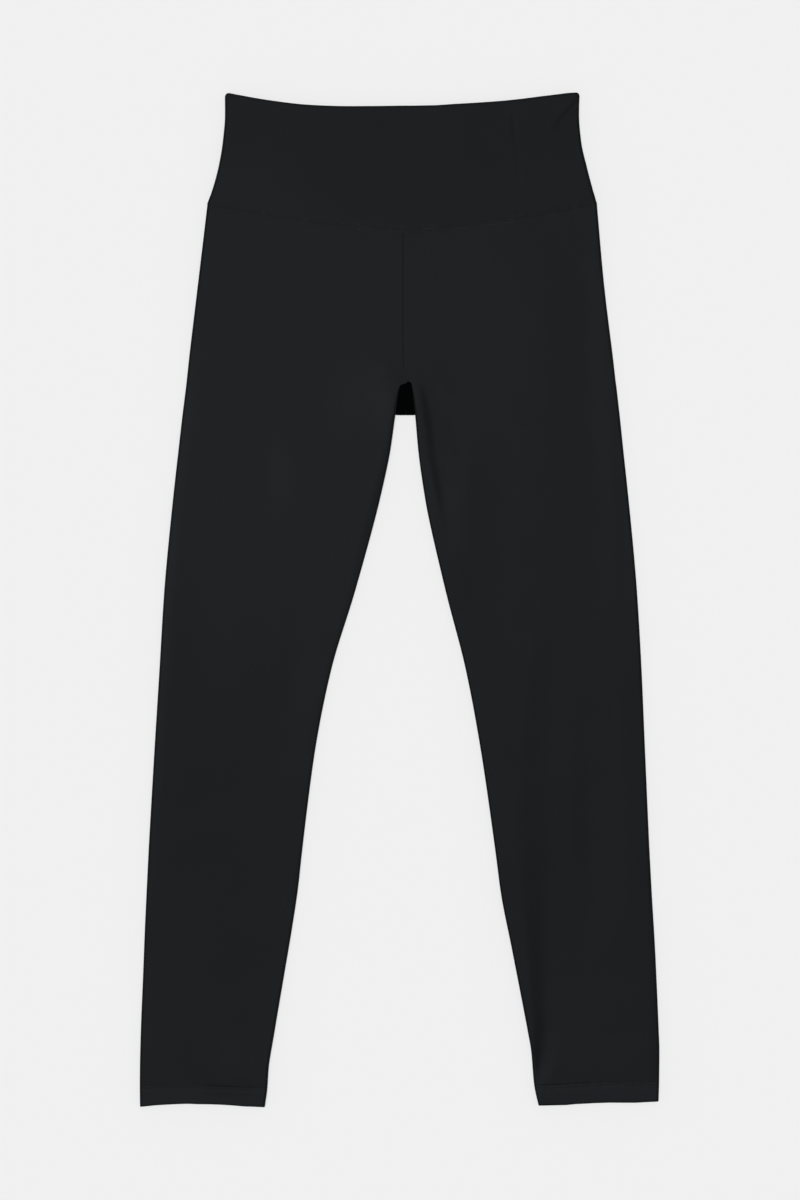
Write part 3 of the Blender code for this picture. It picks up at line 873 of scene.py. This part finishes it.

# The thread's own colour, and the lighter colour that its brightest stitches are given as a painted glint.
THREAD_DARK = (0.0075, 0.0088, 0.010, 1)
THREAD_GLINT_COLOUR = (0.031, 0.034, 0.037, 1)
THREAD_ROUGHNESS = 0.6
THREAD_GLOSS = 0.2  # how much less rough its brightest stitches are
THREAD_SPECULAR = 0.12
PLY_SCALE = 900.0
PLY_DISTORTION = 0.6
PLY_RELIEF = 0.03
PLY_BUMP = 0.5


def new_material(name):
    material = bpy.data.materials.new(name)
    material.use_nodes = True
    return material, material.node_tree, material.node_tree.nodes["Principled BSDF"]


def knit_material(name, cloth, knit, unevenness):
    """Near-black stretch knit: fine stitches, soft patches, stray fibres and a little sheen, with painted
    shade in the stitches' hollows and the shell's painted light and shade.
    """
    material, tree, shader = new_material(name)
    make, calc = node_maker(tree)
    sizes = {"Column Width": cloth.column * MM, "Stitch Height": cloth.stitch * MM}
    cloth_map = make("UVMap", uv_map="cloth")
    stitches = make("Group", {"Map": cloth_map, **sizes}, out=None, node_tree=knit)
    place = make("TexCoord", out="Object")
    uneven = make("Group", {"Place": place}, out=None, node_tree=unevenness)

    tone = calc("MULTIPLY_ADD", calc("SUBTRACT", uneven["Patches"], 0.5), PATCH_SHADE, 0.5)
    # painted shade in the stitches' hollows
    tone = calc("MULTIPLY_ADD", stitches["Hollow"], HOLLOW_PAINTED_SHADE, tone)
    tone = calc("MULTIPLY_ADD", uneven["Fibres"], FIBRE_SHADE, tone)
    ends = {0: tone, 6: (*cloth.dark, 1), 7: (*cloth.light, 1)}
    colour = make("Mix", ends, out=2, data_type="RGBA", clamp_factor=True)
    # The shell's painted light and shade scales the colour: above 0 lighter, below 0 deeper.
    strength = calc("ADD", make("Attribute", out="Fac", attribute_name="painted_shading"), 1.0)
    dyed = make("VectorMath", {0: colour, "Scale": strength}, operation="SCALE")
    least_rough = cloth.roughness - FIBRE_ROUGHNESS / 2
    rough = calc("MULTIPLY_ADD", uneven["Fibres"], FIBRE_ROUGHNESS, least_rough)
    height = calc("MULTIPLY_ADD", uneven["Fibres"], FIBRE_RELIEF, stitches["Height"])
    relief = {"Height": height, "Strength": KNIT_BUMP, "Distance": cloth.relief * MM}
    looks = {
        "Base Color": dyed,
        "Roughness": rough,
        "Normal": make("Bump", relief),
        "Specular IOR Level": cloth.specular,
        "Sheen Weight": cloth.sheen,
        "Sheen Roughness": cloth.sheen_roughness,
        "Sheen Tint": SHEEN_TINT,
    }
    fill(tree, shader, looks)
    return material


def thread_material():
    """Black polyester thread, plied, less rough on its brightest stitches, which are also given a lighter
    colour as painted glints.
    """
    material, tree, shader = new_material("black_thread")
    make, calc = node_maker(tree)
    shade = make("Attribute", out="Fac", attribute_name="stitch_shade")
    place = make("TexCoord", out="Object")
    colour = make("Mix", {0: shade, 6: THREAD_DARK, 7: THREAD_GLINT_COLOUR}, out=2, data_type="RGBA")
    twist = {"Vector": place, "Scale": PLY_SCALE, "Distortion": PLY_DISTORTION}
    ply = make("TexWave", twist, out="Fac", bands_direction="DIAGONAL")
    relief = {"Height": ply, "Strength": PLY_BUMP, "Distance": PLY_RELIEF * MM}
    looks = {
        "Base Color": colour,
        "Roughness": calc("MULTIPLY_ADD", shade, -THREAD_GLOSS, THREAD_ROUGHNESS),
        "Normal": make("Bump", relief),
        "Specular IOR Level": THREAD_SPECULAR,
    }
    fill(tree, shader, looks)
    return material


# ---- stitches

STITCH_SWAY = 0.07  # how far a stitch turns off its row, in radians
STITCH_SPIN = 3.0  # and about its own length
PLUMPNESS = (0.88, 1.1)  # the least and the most of a stitch's size
DULL = 0.3  # the painted glint of a stitch that doesn't catch the light
BRIGHT_OUT_TO = 0.11  # metres from the middle, as far as the brightest painted glints go
DULL_FROM = 0.15
GLINT_SCALE = 130.0  # of the groups that the painted glints come in
GLINT_FROM = 0.54
GLINT_FULL = 0.60
GLINT_SEED = 7.0  # added to a row's seed


def sewn_rows_tree():
    """Geometry Nodes: a spindle of thread at every pitch along each path."""
    tree = bpy.data.node_groups.new("sewn_rows", "GeometryNodeTree")
    sizes = [(label, "Float") for label in ("Pitch", "Stitch Length", "Thread Radius", "Gloss")]
    inputs = [("Paths", "Geometry"), *sizes, ("Seed", "Int"), ("Thread", "Material")]
    add_sockets(tree, "INPUT", inputs)
    add_sockets(tree, "OUTPUT", (("Stitches", "Geometry"),))
    make, calc = node_maker(tree)
    given = make("NodeGroupInput", out=None)

    curves = make("GeometryNodeMeshToCurve", {"Mesh": given["Paths"]})
    upright = make("GeometryNodeSetCurveNormal", {"Curve": curves}, mode="Z_UP")
    along = {"Curve": upright, "Length": given["Pitch"]}
    spots = make("GeometryNodeCurveToPoints", along, out=None, mode="LENGTH")

    ball = make("GeometryNodeMeshUVSphere", {"Segments": 6, "Rings": 5, "Radius": 1.0}, out="Mesh")
    half_length = calc("MULTIPLY", given["Stitch Length"], 0.5)
    thickness = given["Thread Radius"]
    size = make("CombineXYZ", {"X": thickness, "Y": thickness, "Z": half_length})
    spindle = make("GeometryNodeTransform", {"Geometry": ball, "Scale": size})

    least, most = (-STITCH_SWAY, -STITCH_SWAY, 0.0), (STITCH_SWAY, STITCH_SWAY, STITCH_SPIN)
    ends = {0: least, 1: most, "Seed": given["Seed"]}
    sway = make("FunctionNodeRandomValue", ends, data_type="FLOAT_VECTOR")
    tilt = make("FunctionNodeEulerToRotation", {"Euler": sway})
    turned = {"Rotation": spots["Rotation"], "Rotate By": tilt}
    lie = make("FunctionNodeRotateRotation", turned, rotation_space="LOCAL")
    ends = {2: PLUMPNESS[0], 3: PLUMPNESS[1], "Seed": given["Seed"]}
    plump = make("FunctionNodeRandomValue", ends, out=1, data_type="FLOAT")
    each = {"Points": spots["Points"], "Instance": spindle, "Rotation": lie, "Scale": plump}
    placed = make("GeometryNodeInstanceOnPoints", each)

    # Each stitch's painted glint, how far its colour goes towards the lighter one: strongest near the middle,
    # in groups along the row.
    where = make("GeometryNodeInputPosition")
    off_middle = calc("ABSOLUTE", make("SeparateXYZ", {0: where}, out="X"))
    span = {0: off_middle, 1: BRIGHT_OUT_TO, 2: DULL_FROM, 3: given["Gloss"], 4: DULL}
    brightest = make("MapRange", span)
    ends = {2: DULL, 3: brightest, "Seed": calc("ADD", given["Seed"], GLINT_SEED)}
    chance = make("FunctionNodeRandomValue", ends, out=1, data_type="FLOAT")
    wander = make("TexNoise", {"Vector": where, "Scale": GLINT_SCALE, "Detail": 0.0})
    group = make("MapRange", {0: wander, 1: GLINT_FROM, 2: GLINT_FULL}, clamp=True)
    shade = {"Geometry": placed, "Name": "stitch_shade", "Value": calc("MULTIPLY", chance, group)}
    shaded = make("GeometryNodeStoreNamedAttribute", shade, data_type="FLOAT", domain="INSTANCE")
    real = make("GeometryNodeRealizeInstances", {"Geometry": shaded})
    smooth = make("GeometryNodeSetShadeSmooth", {"Geometry": real})
    threaded = make("GeometryNodeSetMaterial", {"Geometry": smooth, "Material": given["Thread"]})
    make("NodeGroupOutput", {"Stitches": threaded}, out=None)
    return tree


def line_on(face, distances, at, outward, lift):
    """The points of a panel's face along the line at a distance down it, moved out by lift."""
    normals = grid_normals(face, outward)
    k = int(np.clip(np.searchsorted(distances, at) - 1, 0, len(distances) - 2))
    t = (at - distances[k]) / (distances[k + 1] - distances[k])
    return (face[k] + normals[k] * lift) * (1 - t) + (face[k + 1] + normals[k + 1] * lift) * t


def sew(name, paths, tree, thread, seed, glint_strength=DULL):
    """Rows of stitches along paths, which are lists of points, as one plain mesh."""
    points, edges = [], []
    for path in paths:
        start = len(points)
        lowest = (-np.inf, -np.inf, LEAST_THREAD_HEIGHT)
        points += [tuple(point) for point in np.maximum(path, lowest) * MM]
        edges += [(k, k + 1) for k in range(start, len(points) - 1)]
    guide_mesh = bpy.data.meshes.new(name + "_path")
    guide_mesh.from_pydata(points, edges, [])
    guide = put(name + "_path", guide_mesh)
    rows = guide.modifiers.new("rows", "NODES")
    rows.node_group = tree
    values = {
        "Pitch": STITCH_PITCH * MM,
        "Stitch Length": STITCH_LENGTH * MM,
        "Thread Radius": THREAD_RADIUS * MM,
        "Gloss": glint_strength,
        "Seed": seed,
        "Thread": thread,
    }
    for socket in tree.interface.items_tree:
        if socket.in_out == "INPUT" and socket.name in values:
            rows[socket.identifier] = values[socket.name]
    depsgraph = bpy.context.evaluated_depsgraph_get()
    mesh = bpy.data.meshes.new_from_object(guide.evaluated_get(depsgraph))
    mesh.name = name
    bpy.data.objects.remove(guide)
    stitches = put(name, mesh)
    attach(stitches, "root")
    return stitches


# ---- pieces


def dress(piece, material, node):
    """Gives a shell its cloth and lets it stand for its solid."""
    piece.data.materials.append(material)
    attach(piece, "root")
    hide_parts(node)


def make_leg(side, lines, front_creases, hem_row, hem_edge, material, tree, thread):
    """A leg with its hem's twin rows, and its half of the waistband seam's lower row."""
    face, distances, rows = leg_face(lines, front_creases, hem_edge)
    outward = outward_sign(face, len(face) // 2, -LEG_FRONT_COLUMNS // 2, looks_up=True)
    face = pulled_in(face, distances, zip(rows, (FLAT_ROW, hem_row, FLAT_ROW)), outward)
    wall = KNIT + share_of(distances - rows[1], HEM_WALL_EASE)[:, None] * (HEM_WALL - KNIT)
    side_column = int(np.argmax(np.abs(face[0, :, 0])))
    rounds = (FLUSH_ROUND, HEM_WALL / 2)
    piece = cloth_shell(f"leg_{side}_cloth", face, wall, outward, side_column, *rounds, LEG_PAINTED_SHADING)
    dress(piece, material, f"leg_{side}")
    inside = slice(EDGE_STEPS + 2, -EDGE_STEPS - 2)
    seam_row, *hem_rows = [line_on(face, distances, at, outward, THREAD_LIFT)[inside] for at in rows]
    hem_stitches = sew(f"hem_stitches_{side}", hem_rows, tree, thread, seed=3)
    seam_stitches = sew(f"leg_top_stitches_{side}", [seam_row], tree, thread, seed=5, glint_strength=1.0)
    round(run_area(face), 4)
    return face


def make_waistband(material, tree, thread):
    """The waistband's front and back, each with its row of stitches and its half of those in the join."""
    for side, front in (("front", True), ("back", False)):
        face, distances = band_face(front)
        outward = outward_sign(face, len(face) // 2, face.shape[1] // 2, looks_up=front)
        face = pulled_in(face, distances, [(ROW_PITCH, FLAT_ROW)], outward)
        rounds = (FLUSH_ROUND, FOLDED_ROUND)
        piece = cloth_shell(f"waistband_{side}_cloth", face, BAND_WALL, outward, 0, *rounds, BAND_PAINTED_SHADING)
        dress(piece, material, f"waistband_{side}")
        inside = slice(BAND_ROW_ENDS, -BAND_ROW_ENDS)
        upper = line_on(face, distances, ROW_PITCH, outward, THREAD_LIFT)[inside]
        join = line_on(face, distances, 0.0, outward, -JOIN_DEPTH)[inside]
        stitches = sew(f"waistband_stitches_{side}", [upper, join], tree, thread, seed=11, glint_strength=1.0)


def make_gusset(material, right_leg, left_leg):
    face = gusset_face(right_leg, left_leg)
    middle = GUSSET_COLUMNS // 2
    outward = outward_sign(face, 2, middle, looks_up=True)
    piece = cloth_shell("gusset_cloth", face, KNIT, outward, middle, EDGE_ROUND, EDGE_ROUND)
    dress(piece, material, "gusset")
    round(run_area(face), 5)


# ---- floor, light and camera

VIEW_HEIGHT = 1.0786  # metres of floor from the view's bottom to its top
CLOTH_HEIGHT = 0.003
LENS = 85.0
SENSOR = 36.0
AIM = (0.0005, -0.0003)
FLOOR_TONE = 0.40
FLOOR_GLOW = 0.436  # it is a white table, lit from below as well
FLOOR_ROUGHNESS = 0.95
FLOOR_LEVEL = -0.0004
FLOOR_REACH = 60.0
KEY_LIGHT = 2.29
KEY_SPREAD_DEG = 18
KEY_HEADING = (0.10, -0.06, -1.0)
WALL_TOP = 0.18  # the sine of how high the white walls reach, and the ceiling's
CEILING = 0.45
WALL_LIGHT = 0.87
CEILING_LIGHT = 0.31
WHITE = (1, 1, 1, 1)


def make_floor():
    mesh = bpy.data.meshes.new("floor")
    corners = [(-1, -1), (1, -1), (1, 1), (-1, 1)]
    points = [(x * FLOOR_REACH, y * FLOOR_REACH, FLOOR_LEVEL) for x, y in corners]
    mesh.from_pydata(points, [], [(0, 1, 2, 3)])
    floor = put("floor", mesh)
    material, tree, shader = new_material("pale_floor")
    looks = {
        "Base Color": (FLOOR_TONE, FLOOR_TONE, FLOOR_TONE, 1),
        "Emission Color": WHITE,
        "Emission Strength": FLOOR_GLOW,
        "Roughness": FLOOR_ROUGHNESS,
        "Specular IOR Level": 0.0,
    }
    fill(tree, shader, looks)
    mesh.materials.append(material)


def make_light():
    """A white room, palest low down where its walls are, with a broad, soft key from the upper left."""
    world = bpy.data.worlds.new("white_room")
    bpy.context.scene.world = world
    world.use_nodes = True
    tree = world.node_tree
    make, _ = node_maker(tree)
    heading = make("TexCoord", out="Generated")
    height = make("SeparateXYZ", {0: heading}, out="Z")
    span = {0: height, 1: WALL_TOP, 2: CEILING, 3: WALL_LIGHT, 4: CEILING_LIGHT}
    strength = make("MapRange", span)
    fill(tree, tree.nodes["Background"], {"Color": WHITE, "Strength": strength})
    lamp = bpy.data.lights.new("key", "SUN")
    lamp.energy = KEY_LIGHT
    lamp.angle = math.radians(KEY_SPREAD_DEG)
    key = put("key", lamp)
    key.rotation_mode = "QUATERNION"
    key.rotation_quaternion = Vector(KEY_HEADING).to_track_quat("-Z", "Y")


def make_camera():
    """Straight down, and far enough off for the garment to look flat."""
    lens = bpy.data.cameras.new("camera")
    lens.lens = LENS
    lens.sensor_width = SENSOR
    camera = put("camera", lens)
    camera.location = (*AIM, VIEW_HEIGHT * LENS / SENSOR + CLOTH_HEIGHT)
    bpy.context.scene.camera = camera


def main():
    knit, unevenness = knit_group(), unevenness_group()
    leg_knit = knit_material("leg_knit", LEG_CLOTH, knit, unevenness)
    band_knit = knit_material("waistband_knit", BAND_CLOTH, knit, unevenness)
    gusset_knit = knit_material("gusset_knit", GUSSET_SHADED_CLOTH, knit, unevenness)
    sewing = (sewn_rows_tree(), thread_material())
    right = (RIGHT_LEG, RIGHT_LEG_CREASES, RIGHT_HEM_ROW, RIGHT_HEM_EDGE)
    left = (LEFT_LEG, LEFT_LEG_CREASES, LEFT_HEM_ROW, LEFT_HEM_EDGE)
    right_leg = make_leg("right", *right, leg_knit, *sewing)
    left_leg = make_leg("left", *left, leg_knit, *sewing)
    make_waistband(band_knit, *sewing)
    make_gusset(gusset_knit, right_leg, left_leg)
    make_floor()
    make_light()
    make_camera()
    bpy.context.scene.view_settings.view_transform = "Standard"


main()
